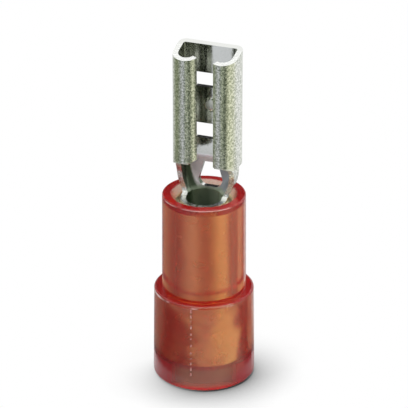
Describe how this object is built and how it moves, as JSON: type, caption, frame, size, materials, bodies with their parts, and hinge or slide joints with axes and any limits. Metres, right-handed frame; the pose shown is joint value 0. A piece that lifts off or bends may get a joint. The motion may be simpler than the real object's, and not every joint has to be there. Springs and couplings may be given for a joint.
{
  "type": "female spade terminal",
  "caption": "Insulated female spade terminal: a rolled tinned socket for a blade, a closed crimp barrel and a stepped translucent red sleeve with a wire funnel.",
  "frame": {"origin": "centre of the sleeve's foot, on the axis of the crimp barrel", "axes": "+Z along the barrel from the wire end to the blade mouth; -Y is the open side of the socket, between the two rolled flanges"},
  "size_m": [0.0058, 0.0058, 0.0195],
  "materials": {
    "tinned_metal": "tin plated, half gloss",
    "red_nylon": "translucent red nylon, smooth moulded gloss",
    "bare_brass": "bright drawn brass"
  },
  "bodies": {
    "root": {"contact": "tinned_metal", "insulating_sleeve": "red_nylon", "support_sleeve": "bare_brass"}
  },
  "joints": []
}
